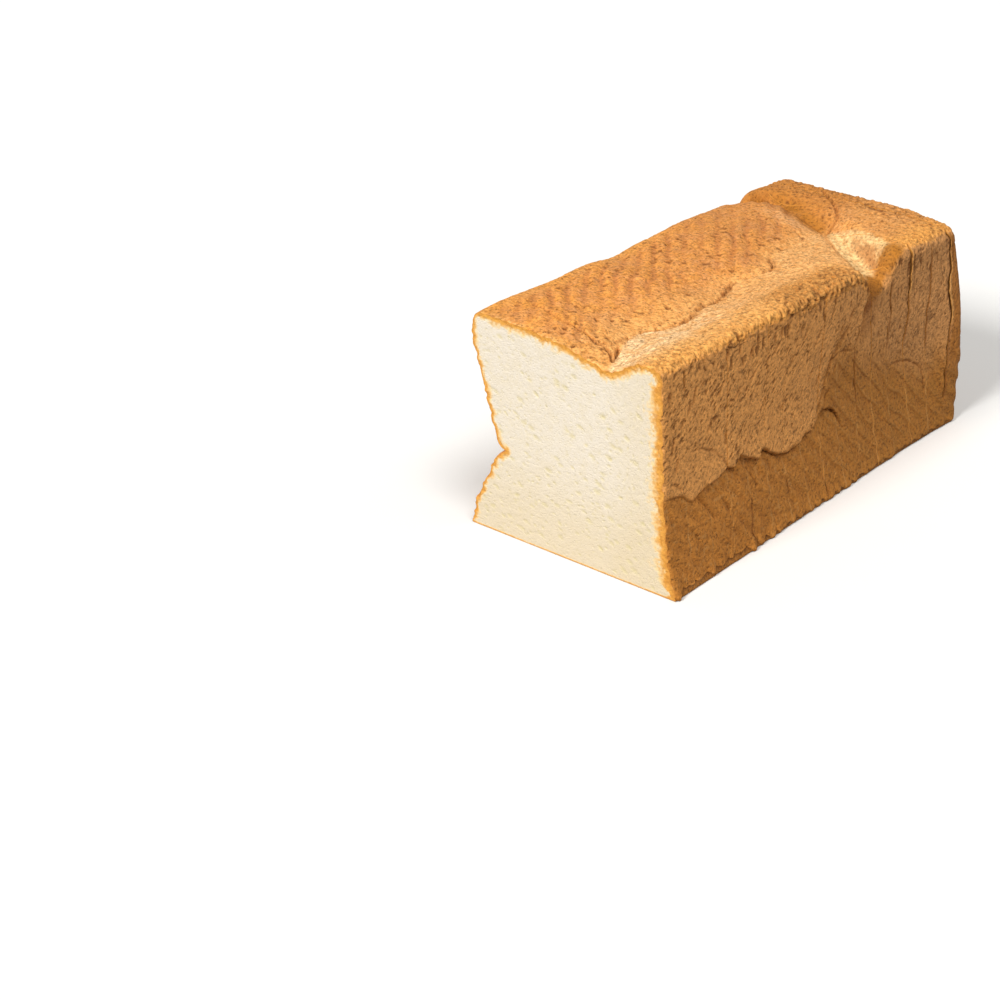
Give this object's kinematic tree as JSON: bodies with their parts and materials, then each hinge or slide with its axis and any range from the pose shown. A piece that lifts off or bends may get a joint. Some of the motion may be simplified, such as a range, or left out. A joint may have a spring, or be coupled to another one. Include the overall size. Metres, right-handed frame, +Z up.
{
  "type": "sliced tin loaf",
  "caption": "Block of a white tin loaf, cut into slices that still stand together, with an open cut face and a crusty heel.",
  "frame": {"origin": "middle of the base, where the loaf stands on its flat underside", "axes": "+Z up, +Y along the loaf from the open cut face to the heel, +X to the right as seen from the cut face"},
  "size_m": [0.1284, 0.2548, 0.1146],
  "materials": {
    "crust": "matt golden-brown baked crust",
    "crumb": "matt creamy white open crumb"
  },
  "bodies": {
    "root": {"slice_01": "crumb", "slice_02": "crust", "slice_03": "crust", "slice_04": "crust", "slice_05": "crust", "slice_06": "crust", "slice_07": "crust", "slice_08": "crust", "slice_09": "crust", "slice_10": "crust", "slice_11": "crust", "slice_12": "crust", "slice_13": "crust", "slice_14": "crust", "slice_15": "crust", "slice_16": "crust"}
  },
  "joints": []
}
